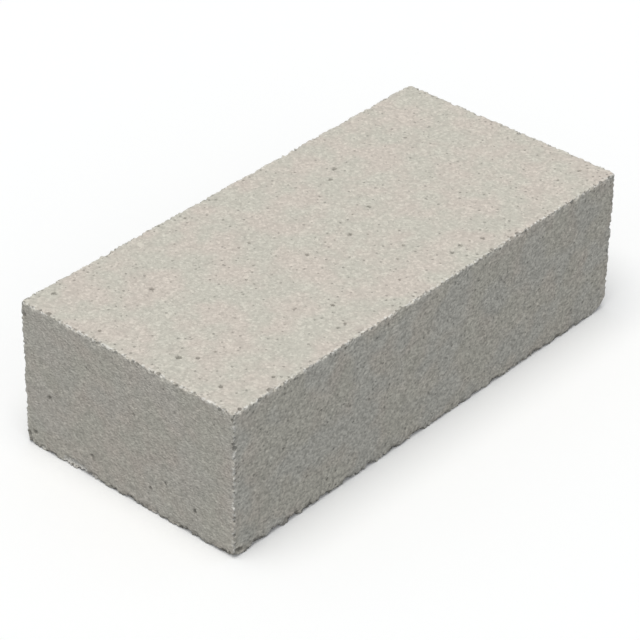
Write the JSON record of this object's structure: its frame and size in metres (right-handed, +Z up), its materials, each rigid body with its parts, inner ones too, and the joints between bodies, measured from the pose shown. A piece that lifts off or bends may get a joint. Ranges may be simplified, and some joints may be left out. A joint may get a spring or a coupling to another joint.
{
  "type": "calcium silicate brick",
  "caption": "Solid rectangular calcium silicate brick, light warm grey, sandy faces, sharp arrises, broken lower corner.",
  "frame": {"origin": "centre of the lower bed face, at floor level", "axes": "+X along the length, +Y across the width, +Z up out of the upper bed"},
  "size_m": [0.21, 0.1, 0.06],
  "materials": {
    "brick": "matte sandy"
  },
  "bodies": {
    "root": {"brick": "brick"}
  },
  "joints": []
}
